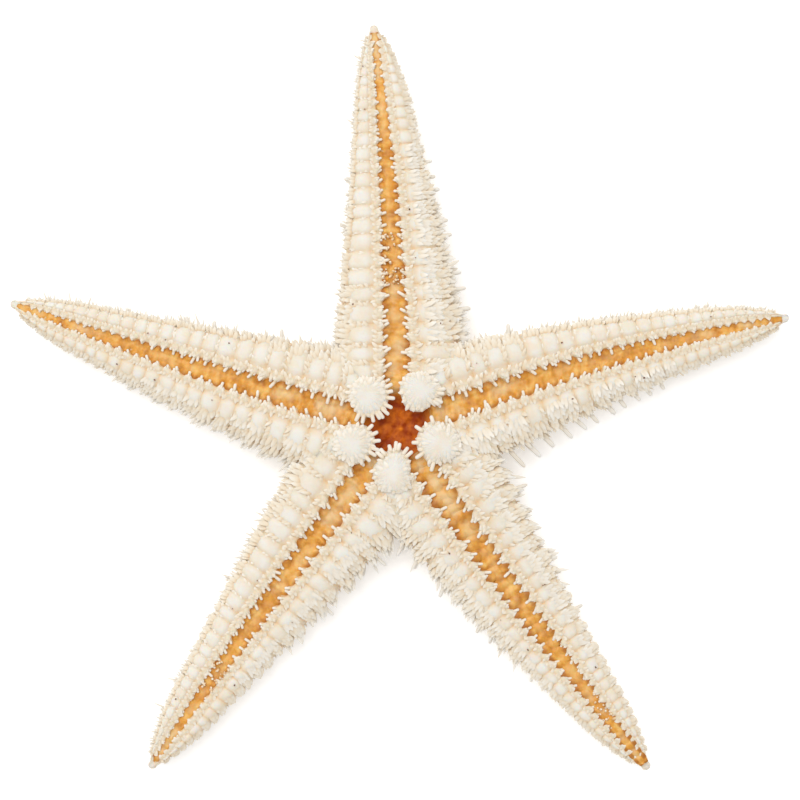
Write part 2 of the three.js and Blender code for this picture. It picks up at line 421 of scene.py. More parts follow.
def driedTubeFeet():
    material, tree = newMaterial("driedTubeFeetTissue")
    place = addNode(tree, "ShaderNodeTexCoord").outputs["Object"]
    bayShade, pale = (addNode(tree, "ShaderNodeAttribute", {"attribute_name": key}).outputs["Fac"]
                 for key in ("bayShade", "pale"))
    cloud = addNode(tree, "ShaderNodeTexNoise", None,
                    {"Vector": place, "Scale": 600, "Detail": 4}).outputs["Fac"]  # 1.6 mm blotches
    patch = addNode(tree, "ShaderNodeTexNoise", None,
                    {"Vector": place, "Scale": 350, "Detail": 3}).outputs["Fac"]  # 3 mm patches
    ramp = addNode(tree, "ShaderNodeValToRGB", None, {"Fac": cloud}, stops=(
        (0.3, tubeFeetColours["dark"]), (0.7, tubeFeetColours["light"]), (0.5, tubeFeetColours["body"])))
    patchy = addNode(tree, "ShaderNodeMapRange", None, {"Value": patch, 1: 0.42, 2: 0.62, 3: 0.0, 4: 0.9})
    milky = addNode(tree, "ShaderNodeMath", {"operation": "MULTIPLY"}, {0: pale, 1: patchy.outputs[0]})
    colour = ramp.outputs["Color"]
    # the bay mark paints dark brown shade into the bays at the edge of the groove
    for amount, key in ((milky.outputs[0], "milky"), (bayShade, "bayShade")):
        colour = addNode(tree, "ShaderNodeMix", {"data_type": "RGBA"},
                         {0: amount, 6: colour, 7: linear(tubeFeetColours[key])}).outputs[2]
    lumps = addNode(tree, "ShaderNodeBump", None, {"Height": cloud, "Distance": 0.2 * mm, "Strength": 0.5})
    addShader(tree, {"Base Color": colour, "Roughness": 0.42, "Specular IOR Level": 0.35,
                     "Subsurface Weight": 0.3, "Subsurface Radius": (1.0, 0.45, 0.15),
                     "Subsurface Scale": 0.6 * mm, "Normal": lumps.outputs[0]})
    return material


# The skin over the mouth: thin, wrinkled, red-brown like dried hide, with a bright crumb in the middle
membraneColours = {"dark": "#97390A", "light": "#D4701A", "edge": "#CB8432", "crumb": "#F08A1E"}


def driedMembrane():
    material, tree = newMaterial("driedMouthMembrane")
    place = addNode(tree, "ShaderNodeTexCoord").outputs["Object"]
    edge, crumb = (addNode(tree, "ShaderNodeAttribute", {"attribute_name": key}).outputs["Fac"]
                for key in ("edge", "crumb"))
    cloud = addNode(tree, "ShaderNodeTexNoise", None,
                    {"Vector": place, "Scale": 700, "Detail": 5}).outputs["Fac"]  # 1.4 mm blotches
    ramp = addNode(tree, "ShaderNodeValToRGB", None, {"Fac": cloud},
                   stops=((0.36, membraneColours["dark"]), (0.66, membraneColours["light"])))
    colour = ramp.outputs["Color"]
    for amount, key in ((edge, "edge"), (crumb, "crumb")):
        colour = addNode(tree, "ShaderNodeMix", {"data_type": "RGBA"},
                         {0: amount, 6: colour, 7: linear(membraneColours[key])}).outputs[2]
    wrinkles = addNode(tree, "ShaderNodeBump", None,
                       {"Height": cloud, "Distance": 0.35 * mm, "Strength": 0.7})
    addShader(tree, {"Base Color": colour, "Roughness": 0.45, "Specular IOR Level": 0.12,
                     "Normal": wrinkles.outputs[0]})
    return material


plateFinish = bleachedPlates()
spineFinish = bleachedSpines("bleachedCalciteSpines")
fringeFinish = bleachedSpines("bleachedCalciteFringe")
whiteFinish = bleachedSpines("bleachedCalciteSpinules")
grooveFinish = driedTubeFeet()
membraneFinish = driedMembrane()
print("materials made")

# The skin of the arms and the disc: rings of points round each arm, where the section plan has them
skin = {  # shares of a plate, closer at its seams, then distances from the mouth and from the tip
    "within": (0, 0.05, 0.13, 0.22, 0.31, 0.4, 0.5, 0.6, 0.69, 0.78, 0.87, 0.95),
    "start": (0.0, 1.0, 2.0, 2.8), "end": (1.2, 0.95, 0.7, 0.45, 0.25, 0.1, 0.02), "lastPlate": 1.4,
}


def armShell(arm):
    last = math.floor(float(plateNumber(arm, np.array(arm["length"] - skin["lastPlate"]), marginals)))
    fine = plateDistance(arm, np.add.outer(np.arange(-2, last), skin["within"]).ravel(), marginals)
    along = np.concatenate([skin["start"], fine[fine > 3.2], arm["length"] - np.array(skin["end"])])
    toEnd = arm["length"] - along
    columns = {}
    for sideName in sideSigns:
        m = measure(arm, sideName, along)
        rows = []
        for zone, shares in sectionPlan:
            for share in shares:
                across, up = zone(m, share)
                # crease marks where painted warm shade goes: the plate seams, the inner step, the ambulacral
                # seams and their step, and the groove floor
                crease = 0 * along
                if zone in (plateZone, sideZone):
                    crease = (0.6 - 0.3 * m["smooth"]) * m["plateEdge"] ** 6 + (0.35 if share < 0.05 else 0)
                elif zone is ambulacralZone:
                    crease = 0.8 * m["ambulacralEdge"] ** 5 + 0.4 * (share > 0.8)
                elif zone is grooveZone:
                    crease = smoothStep(0.8, 1.6, toEnd)
                boss = bossMark(m, share) if zone is plateZone else 0 * along
                boss = np.maximum(boss, smoothStep(1.4, 0.8, toEnd))  # the cap is bare
                rows.append((inSpace(arm, sideName, along, across, up), np.clip(crease, 0, 1), boss))
        columns[sideName] = rows
    ring = columns["left"] + columns["right"][-2:0:-1]
    points, crease, boss = (np.stack([row[part] for row in ring], axis=1) for part in range(3))
    rings, around = crease.shape
    faces = []
    for i in range(rings - 1):
        for j in range(around):
            k = (j + 1) % around
            faces.append((i * around + j, i * around + k, (i + 1) * around + k, (i + 1) * around + j))
    count = rings * around
    faces += [(count, (j + 1) % around, j) for j in range(around)]
    last = (rings - 1) * around
    faces += [(count + 1, last + j, last + (j + 1) % around) for j in range(around)]
    caps = np.stack([points[0].mean(axis=0), points[-1].mean(axis=0)])
    return (np.concatenate([points.reshape(-1, 3), caps]), faces,
            np.append(crease.ravel(), [1, 0]), np.append(boss.ravel(), [0, 1]))


body = meshPiece("starBody", [armShell(arm) for arm in arms.values()], ("crease", "boss"))
finishPiece("starBody", plateFinish)
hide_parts("starfish")
print("skin made:", len(body.data.polygons), "faces")


# Templates of what repeats: 1 long along +Z, 1 wide, and set to size where they stand
def shapeSpine(name, sides, outline):
    bpy.ops.object.select_all(action="DESELECT")
    bpy.ops.mesh.primitive_circle_add(vertices=sides, radius=outline[0][1] / 2, fill_type="NGON")
    spine = bpy.context.object
    spine.name = name
    bpy.ops.object.mode_set(mode="EDIT")
    bpy.ops.mesh.select_all(action="SELECT")
    for (share, width), (nextShare, nextWidth) in zip(outline, outline[1:]):
        bpy.ops.mesh.extrude_region_move(TRANSFORM_OT_translate={"value": (0, 0, nextShare - share)})
        bpy.ops.transform.resize(value=(nextWidth / width, nextWidth / width, 1))
    bpy.ops.mesh.select_all(action="SELECT")
    bpy.ops.mesh.normals_make_consistent(inside=False)
    bpy.ops.uv.smart_project(island_margin=0.04)
    bpy.ops.object.mode_set(mode="OBJECT")
    return spine


templates = {  # the lance keeps flat facets
    "lance": shapeSpine("lanceTemplate", 6, [(0, 0.7), (0.35, 1.0), (0.72, 0.86), (1, 0.22)]),
    "finger": shapeSpine("fingerTemplate", 6, [(0, 0.75), (0.3, 1.0), (0.84, 0.92), (0.96, 0.66), (1, 0.3)]),
    "granule": shapeSpine("granuleTemplate", 6, [(0, 0.7), (0.5, 1.0), (0.85, 0.75), (1, 0.35)]),
}


# A list of spines that grows as they are placed: root, direction, which way is up, sizes and bend
class Crop:
    def __init__(self, seed):
        self.random = np.random.default_rng(seed)
        self.rows = []

    def add(self, root, toward, upward, width, thick, length, bend=0.0):
        sizes = [np.broadcast_to(np.asarray(value, dtype=float), (len(root),))[:, None]
                 for value in (width, thick, length, bend)]
        self.rows.append(np.concatenate([root, toward, upward, *sizes], axis=1))


# One joined mesh from a crop, with a template in the place of each spine
def growSpines(name, template, crop, material):
    rows = np.concatenate(crop.rows)
    data = templates[template].data
    count = len(data.vertices)
    shape = np.empty(count * 3)
    data.vertices.foreach_get("co", shape)
    shape = shape.reshape(-1, 3)
    corners = np.empty(len(data.loops), dtype=np.int32)
    data.loops.foreach_get("vertex_index", corners)
    starts = np.empty(len(data.polygons), dtype=np.int32)
    data.polygons.foreach_get("loop_start", starts)
    flat = np.empty(len(data.loops) * 2)
    data.uv_layers[0].data.foreach_get("uv", flat)
    flat = flat.reshape(-1, 2)

    root, toward, upward = rows[:, 0:3], rows[:, 3:6], rows[:, 6:9]
    toward = toward / np.linalg.norm(toward, axis=1, keepdims=True)
    beside = np.cross(upward, toward)
    beside = beside / np.linalg.norm(beside, axis=1, keepdims=True)
    upward = np.cross(toward, beside)
    width, thick, length, bend = (rows[:, i, None, None] for i in range(9, 13))
    x, y, z = (shape[None, :, i, None] for i in range(3))
    points = root[:, None] + toward[:, None] * z * length + beside[:, None] * x * width
    points = points + upward[:, None] * (y * thick + bend * length * z * z)

    total = len(rows)
    made = bpy.data.meshes.new(name)
    made.vertices.add(total * count)
    made.vertices.foreach_set("co", (points * mm).ravel())
    made.loops.add(total * len(corners))
    offsets = np.arange(total)[:, None]
    made.loops.foreach_set("vertex_index", (corners[None] + offsets * count).ravel())
    made.polygons.add(total * len(starts))
    made.polygons.foreach_set("loop_start", (starts[None] + offsets * len(corners)).ravel())
    made.polygons.foreach_set("use_smooth", np.full(total * len(starts), template != "lance"))
    cells = math.ceil(math.sqrt(total))  # each spine has its own cell of the UV map
    corner = np.stack([np.arange(total) % cells, np.arange(total) // cells], axis=1)[:, None]
    layout = (corner + 0.05 + 0.9 * flat[None]) / cells
    made.uv_layers.new(name="OFBake").data.foreach_set("uv", layout.ravel())
    rise = np.broadcast_to(shape[None, :, 2], (total, count))
    tint = np.repeat(crop.random.uniform(0, 0.8, total), count)
    for key, values in (("rise", rise), ("tint", tint)):
        attribute = made.attributes.new(key, "FLOAT", "POINT")
        attribute.data.foreach_set("value", values.astype(np.float32).ravel())
    made.update(calc_edges=True)
    made.validate()
    piece = bpy.data.objects.new(name, made)
    bpy.context.collection.objects.link(piece)
    bpy.context.view_layer.objects.active = piece
    finishPiece(name, material)
    print(name, total, "spines,", total * (len(corners) - 2 * len(starts)), "triangles")


upwards = np.array([[0.0, 0.0, 1.0]])


# Roots on a zone's surface, with the directions to the tip, out over the surface, off it, and sideways
def onSurface(arm, sideName, along, share, zone):
    m = measure(arm, sideName, along)
    across, up = zone(m, share)
    root = inSpace(arm, sideName, along, across, up)
    m["across"] = across
    m["plateEdge"] = m["ambulacralEdge"] = np.zeros_like(along)
    before, after = zone(m, np.clip(share - 0.03, 0, 1)), zone(m, np.clip(share + 0.03, 0, 1))
    runAcross, runUp = after[0] - before[0], after[1] - before[1]
    run = np.hypot(runAcross, runUp) + 1e-6
    runAcross, runUp = (runAcross / run)[:, None], (runUp / run)[:, None]
    _, toTip, toLeft = lineAt(arm, along)
    zero = np.zeros(len(along))[:, None]
    tip = np.concatenate([toTip, zero], axis=1)
    beside = np.concatenate([toLeft * sideSigns[sideName], zero], axis=1)
    outward = beside * runAcross + upwards * runUp
    normal = upwards * runAcross - beside * runUp
    return m, root, tip, outward, normal, beside


# Flat spinules on the marginal plates. They lie outwards over each other like feathers, from the boss to
# the margin, and smaller ones line the seams.
spinules = {
    "rows": ((0.58, 4), (0.7, 4), (0.82, 4), (0.93, 5)),  # share of the way across, spinules in the row
    "bossRows": ((0.08, 3), (0.2, 4), (0.33, 4), (0.45, 4)),
    "seamRows": (0.3, 0.46), "rosetteRows": (0.14, 0.32, 0.5),
    "fan": 0.75, "close": 1.1,  # how far a row opens, and how far a closing tuft shuts
    "bossShare": 0.85,  # of the plates have a covered boss
    "bossUpTo": 0.7, "seamsUpTo": 0.6, "rosettesUpTo": 0.36, "fuzzBareFrom": 0.34,  # shares of the length
}
flatSpinules = {  # mm on the largest plate, how deep the root is set, and the bend
    "feather": {"width": 0.86, "thick": 0.16, "length": 2.4, "set": 0.14, "bend": -0.08},
    "seam": {"width": 0.6, "thick": 0.22, "length": 1.5, "set": 0.12, "bend": -0.1},
    "crossing": {"width": 0.5, "thick": 0.14, "length": 1.1, "set": 0.06, "bend": -0.08},
    "boss": {"width": 0.8, "thick": 0.14, "length": 1.9, "set": 0.06, "bend": -0.1},
    "rosette": {"width": 0.6, "thick": 0.22, "length": 1.5, "set": 0.12, "bend": -0.15},
}
# count a plate, length, width, lean to the tip, spread of the tuft (below 0 it closes to a point),
# how uneven, where the white rows start, and the big spines: length, lean, share of the plates with one
fringes = {
    "fuzz": {"count": 9, "length": 2.3, "width": 0.42, "lean": 0.45, "spread": 0.6, "vary": 0.7,
             "bossFrom": 1.0, "big": 2.8, "bigLean": 0.35, "bigShare": 0.15},
    "blades": {"count": 5, "length": 2.9, "width": 0.95, "lean": 0.15, "spread": 0.5, "vary": 0.5,
               "bossFrom": 0.15, "big": 3.6, "bigLean": 0.1, "bigShare": 0.6},
    "fans": {"count": 7, "length": 2.6, "width": 0.65, "lean": 0.7, "spread": 0.15, "vary": 0.35,
             "bossFrom": 0.4, "big": 3.4, "bigLean": 0.6, "bigShare": 0.35},
    "tufts": {"count": 6, "length": 2.9, "width": 0.75, "lean": 0.7, "spread": -0.2, "vary": 0.35,
              "bossFrom": 0.3, "big": 3.4, "bigLean": 0.2, "bigShare": 0.08},
    "pegs": {"count": 6, "length": 1.7, "width": 0.55, "lean": 0.6, "spread": 0.3, "vary": 0.4,
             "bossFrom": 0.15, "big": 4.4, "bigLean": 0.5, "bigShare": 1.0},
}
fringeShape = {
    "thick": 0.3, "set": 0.3, "strayShare": 0.05, "strayLength": 1.6, "shortAfter": 0.5, "inDisc": 0.45,
    "bigFrom": 0.2, "bigUpTo": 0.66, "bigThick": 0.5, "bigAtEnd": 0.55,  # shares of the arm, mm, share left
}
bristles = {  # short ones on the side plates
    "rows": (0.2, 0.4, 0.62, 0.84), "places": (-0.36, -0.12, 0.12, 0.36),
    "width": 0.36, "thick": 0.24, "length": 0.75, "lowest": 0.9,
}


def onPlate(plate, along, shares, zone=plateZone):
    return onSurface(plate["arm"], plate["side"], along, shares, zone)


# Even places over a plate, from -0.5 to 0.5, with some scatter
def spreadOut(random, count, scatter):
    return (np.arange(count) + 0.5) / count - 0.5 + random.uniform(-scatter, scatter, count)


def layFlat(crop, kind, size, root, toward, normal, length):
    looks = flatSpinules[kind]
    crop.add(root - normal * looks["set"], toward, normal, looks["width"] * size ** 0.5,
             looks["thick"] * size ** 0.5, length, looks["bend"])


# Along both seams of the plate, lying towards the seam and outwards
def lineSeams(plate, crop, random):
    spreads = np.repeat(spinules["seamRows"], 2)
    count = len(spreads)
    edge = np.tile([-1.0, 1.0], count // 2)
    along = plate["centre"] + plate["pitch"] * edge * random.uniform(0.36, 0.42, count)
    spreads = np.clip(spreads + random.uniform(-0.03, 0.03, count), 0.01, 1)
    _, root, tip, outward, normal, _ = onPlate(plate, along, plateShare(spreads))
    toward = outward + tip * (0.12 * edge + random.uniform(-0.1, 0.25, count))[:, None]
    toward = toward + normal * random.uniform(0.0, 0.06, (count, 1))
    length = flatSpinules["seam"]["length"] * plate["size"] ** 0.8 * random.uniform(0.7, 1.1, count)
    layFlat(crop, "seam", plate["size"], root, toward, normal, length)


# A few small ones that cross the seams of a bare plate
def crossSeams(plate, crop, random):
    spreads = random.uniform(0.12, 0.9, 4)
    edge = np.array([-1.0, 1.0, -1.0, 1.0])
    _, root, tip, outward, normal, _ = onPlate(
        plate, plate["centre"] + 0.38 * plate["pitch"] * edge, plateShare(spreads))
    toward = outward + tip * (edge * random.uniform(0.1, 0.7, 4))[:, None]
    length = flatSpinules["crossing"]["length"] * plate["size"] * random.uniform(0.6, 1.1, 4)
    layFlat(crop, "crossing", plate["size"], root, toward, normal, length)


# White ones that cover the boss
def coverBoss(plate, crop, random):
    for spread, count in spinules["bossRows"]:
        if spread < plate["style"]["bossFrom"]:
            continue
        place = spreadOut(random, count, 0.08)
        spreads = np.clip(spread + random.uniform(-0.05, 0.05, count), 0.02, 1)
        _, root, tip, outward, normal, _ = onPlate(
            plate, plate["centre"] + 0.62 * plate["pitch"] * place, plateShare(spreads))
        lean = 0.9 * place + 0.5 * plate["lean"] + plate["style"]["lean"] * spread
        lean = lean + random.uniform(-0.12, 0.12, count)
        toward = outward + tip * lean[:, None] + normal * random.uniform(0.0, 0.03, (count, 1))
        length = flatSpinules["boss"]["length"] * plate["size"] ** 0.8 * random.uniform(0.75, 1.1, count)
        layFlat(crop, "boss", plate["size"], root, toward, normal, length)


# Feathered rows, out to the margin
def featherPlate(plate, crop, random):
    style, size = plate["style"], plate["size"]
    for spread, count in spinules["rows"][2 if plate["bare"] else 0:]:
        count = count if plate["share"] < 0.75 else count - 1
        place = spreadOut(random, count, 0.06)
        spreads = np.clip(spread + random.uniform(-0.05, 0.05, count), 0, 1)
        m, root, tip, outward, normal, beside = onPlate(
            plate, plate["centre"] + 0.78 * plate["pitch"] * place, plateShare(spreads))
        lean = style["lean"] * spread * 0.8 + spinules["fan"] * place + random.uniform(-0.1, 0.1, count)
        lean = lean + plate["lean"]
        if style["spread"] < 0:
            lean = lean - spinules["close"] * place * spread
        outward = outward * (1 - spread ** 2) + beside * spread ** 2
        length = plate["length"] * flatSpinules["feather"]["length"] * size ** 0.8 * (1 - 0.9 * np.abs(place))
        length = length * random.uniform(0.8, 1.12, count)
        room = m["margin"] - m["across"] + np.where(m["merged"] > 0.2, 0.3, 0.75 * plate["reach"])
        length = np.clip(length, 0.3, np.maximum(room, 0.5) * np.hypot(1, lean))
        toward = outward + tip * lean[:, None] + normal * random.uniform(0.0, 0.07, (count, 1))
        layFlat(crop, "feather", size, root, toward, normal, length)


# Near the disc, spinules off both sides of the boss
def addRosette(plate, crop, random):
    edge = np.array([-1.0, -1.0, -1.0, 1.0, 1.0, 1.0])
    spreads = np.tile(spinules["rosetteRows"], 2) + random.uniform(-0.05, 0.05, 6)
    _, root, tip, outward, normal, _ = onPlate(
        plate, plate["centre"] + 0.3 * plate["pitch"] * edge, plateShare(spreads))
    toward = outward * random.uniform(0.5, 1.0, (6, 1))
    toward = toward + tip * (edge * random.uniform(0.5, 0.9, 6))[:, None]
    length = flatSpinules["rosette"]["length"] * plate["size"] * random.uniform(0.8, 1.1, 6)
    layFlat(crop, "rosette", plate["size"], root, toward + normal * 0.04, normal, length)


# The fringe at the margin, with a big spine on some plates
def fringeMargin(plate, fringe, pegs, random):
    style, size, share = plate["style"], plate["size"], plate["share"]
    count = style["count"]
    place = spreadOut(random, count, 0.04)
    m, root, tip, outward, normal, beside = onPlate(
        plate, plate["centre"] + 0.74 * plate["pitch"] * place, random.uniform(0.78, 0.96, count))
    lean = style["lean"] + style["spread"] * place * 2 + random.uniform(-0.15, 0.15, count) + plate["lean"]
    toward = beside + tip * lean[:, None] + upwards * random.uniform(-0.15, 0.15, (count, 1))
    length = np.minimum(style["length"] * size ** 0.9, plate["reach"] * 2)
    length = length * random.uniform(1 - style["vary"], 1, count)
    length = plate["length"] * length * (1 - 0.3 * np.abs(2 * place)) + 0.4
    stray = (random.random(count) < fringeShape["strayShare"]) & (style["length"] > 2)
    length = length * np.where(stray, fringeShape["strayLength"], 1)
    until = plate["arm"][plate["side"]]["until"]
    length = length * (1 - fringeShape["shortAfter"] * smoothStep(until - 0.03, until + 0.05, share))
    length = length * np.where(m["merged"] > 0.3, fringeShape["inDisc"], 1)
    fringe.add(root - beside * fringeShape["set"], toward, normal * 0.3 + upwards,
               style["width"] * size ** 0.5, fringeShape["thick"] * size ** 0.5, length, -0.04)
    if random.random() < style["bigShare"] and fringeShape["bigFrom"] < share < fringeShape["bigUpTo"]:
        _, root, tip, _, _, beside = onPlate(plate, np.array([plate["centre"]]), np.array([0.9]))
        toward = beside + tip * (style["bigLean"] + random.uniform(-0.12, 0.12)) - upwards * 0.1
        done = (share - fringeShape["bigFrom"]) / (fringeShape["bigUpTo"] - fringeShape["bigFrom"])
        length = style["big"] * random.uniform(0.88, 1.02) * lerp(1.0, fringeShape["bigAtEnd"], done)
        width = (0.75 + 0.25 * style["bigShare"]) * size ** 0.6
        pegs.add(root - beside * fringeShape["set"], toward, upwards, width, fringeShape["bigThick"],
                 length, -0.03)


def bristleSide(plate, fringe):
    places = np.array(bristles["places"])
    size = plate["size"]
    for row in bristles["rows"]:
        m, root, tip, outward, normal, _ = onPlate(
            plate, plate["centre"] + plate["pitch"] * places, np.full(len(places), row), sideZone)
        toward = normal + tip * 0.5 + outward * 0.4
        keep = (root[:, 2] > bristles["lowest"]) & (m["merged"] < 0.1)
        if keep.any():
            fringe.add((root - normal * 0.1)[keep], toward[keep], tip[keep], bristles["width"] * size ** 0.5,
                       bristles["thick"] * size ** 0.5, bristles["length"] * size, 0)


def growPlateSpinules(armName, arm, seed):
    crop, fringe, pegs, white = (Crop(seed + step) for step in (0, 50, 90, 130))
    random = crop.random
    lastNumber = float(plateNumber(arm, np.array(arm["length"] - 1.3), marginals))
    for sideName in sideSigns:
        side = arm[sideName]
        style = fringes[side["spines"]]
        for number in np.arange(-1, math.floor(lastNumber)) + 0.5:
            centre, pitch, size = plateAt(arm, number, marginals)
            share = centre / arm["length"]
            plate = {
                "arm": arm, "side": sideName, "style": style, "centre": centre, "pitch": pitch,
                "size": size, "share": share,
                "reach": side["fringe"] * (1 - armShape["fringeLoss"] * share) + 0.3,
                "bare": side["spines"] == "fuzz" and share > spinules["fuzzBareFrom"],
                "lean": random.uniform(-0.22, 0.22), "length": random.uniform(0.78, 1.1),  # its own habit
            }
            if plate["bare"]:
                crossSeams(plate, white, random)
            elif share < spinules["seamsUpTo"]:
                lineSeams(plate, crop, random)
            canCover = style["bossFrom"] < 1 and share < spinules["bossUpTo"]
            if canCover and random.random() < spinules["bossShare"]:
                coverBoss(plate, white, random)
            featherPlate(plate, crop, random)
            if share < spinules["rosettesUpTo"]:
                addRosette(plate, crop, random)
            fringeMargin(plate, fringe, pegs, random)
            bristleSide(plate, fringe)
    growSpines(armName + "Spinules", "lance", crop, spineFinish)
    growSpines(armName + "BossSpinules", "lance", white, whiteFinish)
    growSpines(armName + "Fringe", "lance", fringe, fringeFinish)
    if pegs.rows:
        growSpines(armName + "Pegs", "finger", pegs, fringeFinish)


for seed, (armName, arm) in enumerate(arms.items()):
    growPlateSpinules(armName, arm, 11 + seed)


# Spines beside the grooves: on each plate three that close to a tooth over the groove, and flat spinules
# behind them, some towards the groove and some away from it
furrowSpines = {
    "width": 0.58, "thick": 0.42, "length": 1.3, "openShare": 0.25, "longShare": 0.12, "longer": 1.4,
    "sheafWidth": 0.66, "sheafThick": 0.3, "sheafLength": 1.3,
    "sheafRows": ((0.72, -1, -0.8), (0.42, 1, 0.9)),  # share of the band, towards the groove or away, spread
}
threePlaces = np.array([-0.5, 0.0, 0.5])


def growFurrowSpines(armName, arm, seed):
    crop = Crop(seed)
    sheaf = Crop(seed + 20)
    random = crop.random
    for sideName, sign in sideSigns.items():
        last = float(plateNumber(arm, np.array(arm["length"] * 0.97), adambulacrals))
        for plate in np.arange(0, math.floor(last)) + 0.5:
            centre, pitch, size = plateAt(arm, plate, adambulacrals)
            lean = 0.3 + 0.3 * math.sin(0.45 * plate + arm["bearing"] + sign) + random.uniform(-0.12, 0.12)
            isOpen = random.random() < furrowSpines["openShare"]  # these fan out instead
            closing = random.uniform(0.0, 0.9) if isOpen else random.uniform(-1.0, -0.65)
            place = threePlaces + random.uniform(-0.07, 0.07, 3)
            _, root, tip, outward, _, _ = onSurface(
                arm, sideName, centre + 0.56 * pitch * place, np.full(3, 0.06), ambulacralZone)
            outward = outward * [1, 1, 0]
            toward = tip * (lean + closing * place)[:, None] - outward
            toward = toward + upwards * random.uniform(-0.2, 0.12, (3, 1))
            length = furrowSpines["length"] * size ** 1.3 * random.uniform(0.75, 1.0, 3)
            length = length * (1 - 0.3 * np.abs(place))
            isLong = random.random(3) < furrowSpines["longShare"]
            length = length * np.where(isLong, furrowSpines["longer"], 1)
            crop.add(root + outward * 0.3 - upwards * 0.14, toward, upwards + 0 * root,
                     furrowSpines["width"] * size ** 0.5, furrowSpines["thick"] * size ** 0.5, length, -0.05)
            for share, way, spread in furrowSpines["sheafRows"]:
                place = threePlaces + random.uniform(-0.12, 0.12, 3)
                shares = share + random.uniform(-0.08, 0.08, 3)
                _, root, tip, outward, normal, _ = onSurface(
                    arm, sideName, centre + 0.62 * pitch * place, shares, ambulacralZone)
                toward = outward * way + tip * (lean + spread * place)[:, None]
                toward = toward + normal * random.uniform(0.02, 0.12, (3, 1))
                length = furrowSpines["sheafLength"] * size ** 0.8 * random.uniform(0.75, 1.1, 3)
                sheaf.add(root - normal * 0.14, toward, normal, furrowSpines["sheafWidth"] * size ** 0.5,
                          furrowSpines["sheafThick"] * size ** 0.5, length, -0.12)
    growSpines(armName + "FurrowSpines", "finger", crop, whiteFinish)
    growSpines(armName + "BandSpinules", "lance", sheaf, spineFinish)


for seed, (armName, arm) in enumerate(arms.items()):
    growFurrowSpines(armName, arm, 31 + seed)

# Dried tube feet along the floor of the grooves
grooveFloor = {
    "step": 0.24, "columns": 25, "thickness": 0.3, "start": 4.0, "stopShort": 1.1,
    "spill": 0.95,  # how far it goes under the plates beside it
    "lobe": 0.6, "lobeLoss": 0.7, "ridge": 0.12, "wave": 0.12, "lumps": (0.14, 0.06),  # heights in mm
}


def floorStrip(arm):
    along = np.arange(grooveFloor["start"], arm["length"] - grooveFloor["stopShort"], grooveFloor["step"])
    points, bayShades, pales = [], [], []
    for share in np.linspace(-1, 1, grooveFloor["columns"]):
        sideName = "left" if share >= 0 else "right"
        m = measure(arm, sideName, along)
        half, size = m["half"], m["size"]
        across = abs(share) * (half + grooveFloor["spill"] * size)
        alongPart = (1 - m["ambulacralEdge"]) / 0.8
        grown = 1 + 0.16 * np.sin(2.7 * np.round(m["ambulacral"]) + m["phase"])
        acrossPart = (across - half) / (0.42 * half + 0.45 * size)
        far = np.sqrt((alongPart / grown) ** 2 + acrossPart ** 2)
        lobe = np.sqrt(np.clip(1 - far ** 2, 0, 1))
        fade = smoothStep(grooveShape["calmFrom"], grooveShape["calmAt"], m["share"])
        up = m["top"] - 0.86 * m["depth"]
        up = up + grooveFloor["lobe"] * size * lobe * (1 - grooveFloor["lobeLoss"] * fade)
        up = up + grooveFloor["ridge"] * size * np.exp(-(across / (0.4 * half)) ** 2)
        up = up + grooveFloor["wave"] * size * np.cos(2 * math.pi * m["ambulacral"])
        large, small = grooveFloor["lumps"]
        up = up + large * size * np.sin(3.1 * along + 2.3 * share) * np.sin(1.3 * along - 4.1 * share)
        up = up + small * size * np.sin(5.3 * along - 6.1 * share + arm["bearing"])
        points.append(inSpace(arm, sideName, along, across, up))
        # painted shade: dark in the bays at the seams, towards the edge of the groove under the plates beside
        # it
        bayShades.append(0.8 * np.exp(-(alongPart / 0.85) ** 2) * smoothStep(0.6, 1.1, across / half))
        milky = 1.2 - 0.9 * smoothStep(0.1, 0.6, m["share"]) + 0.7 * smoothStep(0.65, 0.9, m["share"])
        pales.append(np.exp(-(across / (0.8 * half)) ** 2) * milky)
    points = np.stack(points, axis=1)
    rings, around = points.shape[:2]
    faces = [(i * around + j, i * around + j + 1, (i + 1) * around + j + 1, (i + 1) * around + j)
             for i in range(rings - 1) for j in range(around - 1)]
    return points.reshape(-1, 3), faces, np.stack(bayShades, axis=1).ravel(), np.stack(pales, axis=1).ravel()


feet = meshPiece("grooveTubeFeet", [floorStrip(arm) for arm in arms.values()], ("bayShade", "pale"))
thicken(feet, grooveFloor["thickness"])
finishPiece("grooveTubeFeet", grooveFinish)
print("groove floors made")

